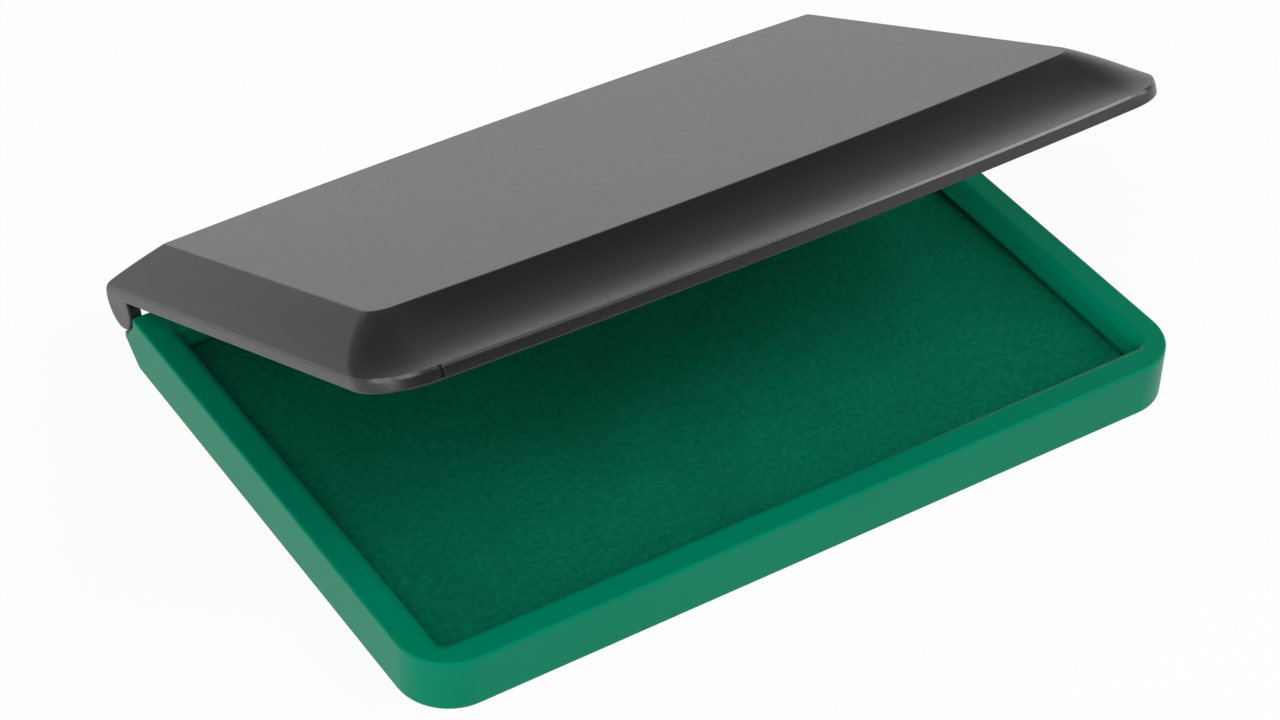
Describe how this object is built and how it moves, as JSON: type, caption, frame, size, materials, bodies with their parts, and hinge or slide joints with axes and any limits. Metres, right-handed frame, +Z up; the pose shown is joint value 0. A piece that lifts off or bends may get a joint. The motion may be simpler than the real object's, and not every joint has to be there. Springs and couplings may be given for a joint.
{
  "type": "stamp ink pad",
  "caption": "Flat stamp ink pad: a moulded tray with an inked cloth pad, under a hinged lid with a thin front lip, shown part open.",
  "frame": {"origin": "on the underside of the tray, below the centre of the pad", "axes": "+X to the right along the pad's length, +Y towards the hinge, +Z up from the table"},
  "size_m": [0.1194, 0.0873, 0.0481],
  "materials": {
    "green_plastic": "satin moulded green",
    "inked_felt": "felt soaked with ink",
    "inked_cloth": "fine woven, damp with ink",
    "black_plastic": "fine moulded grain, black"
  },
  "bodies": {
    "tray": {"base_tray": "green_plastic", "felt_core": "inked_felt", "ink_cloth": "inked_cloth"},
    "lid": {"lid": "black_plastic"}
  },
  "joints": [
    {"name": "lid_hinge", "type": "hinge", "parent": "tray", "child": "lid", "pos_m": [0, 0.04392, 0.00755], "axis": [-1, 0, 0], "range_deg": [-26.7, 153.3]}
  ]
}
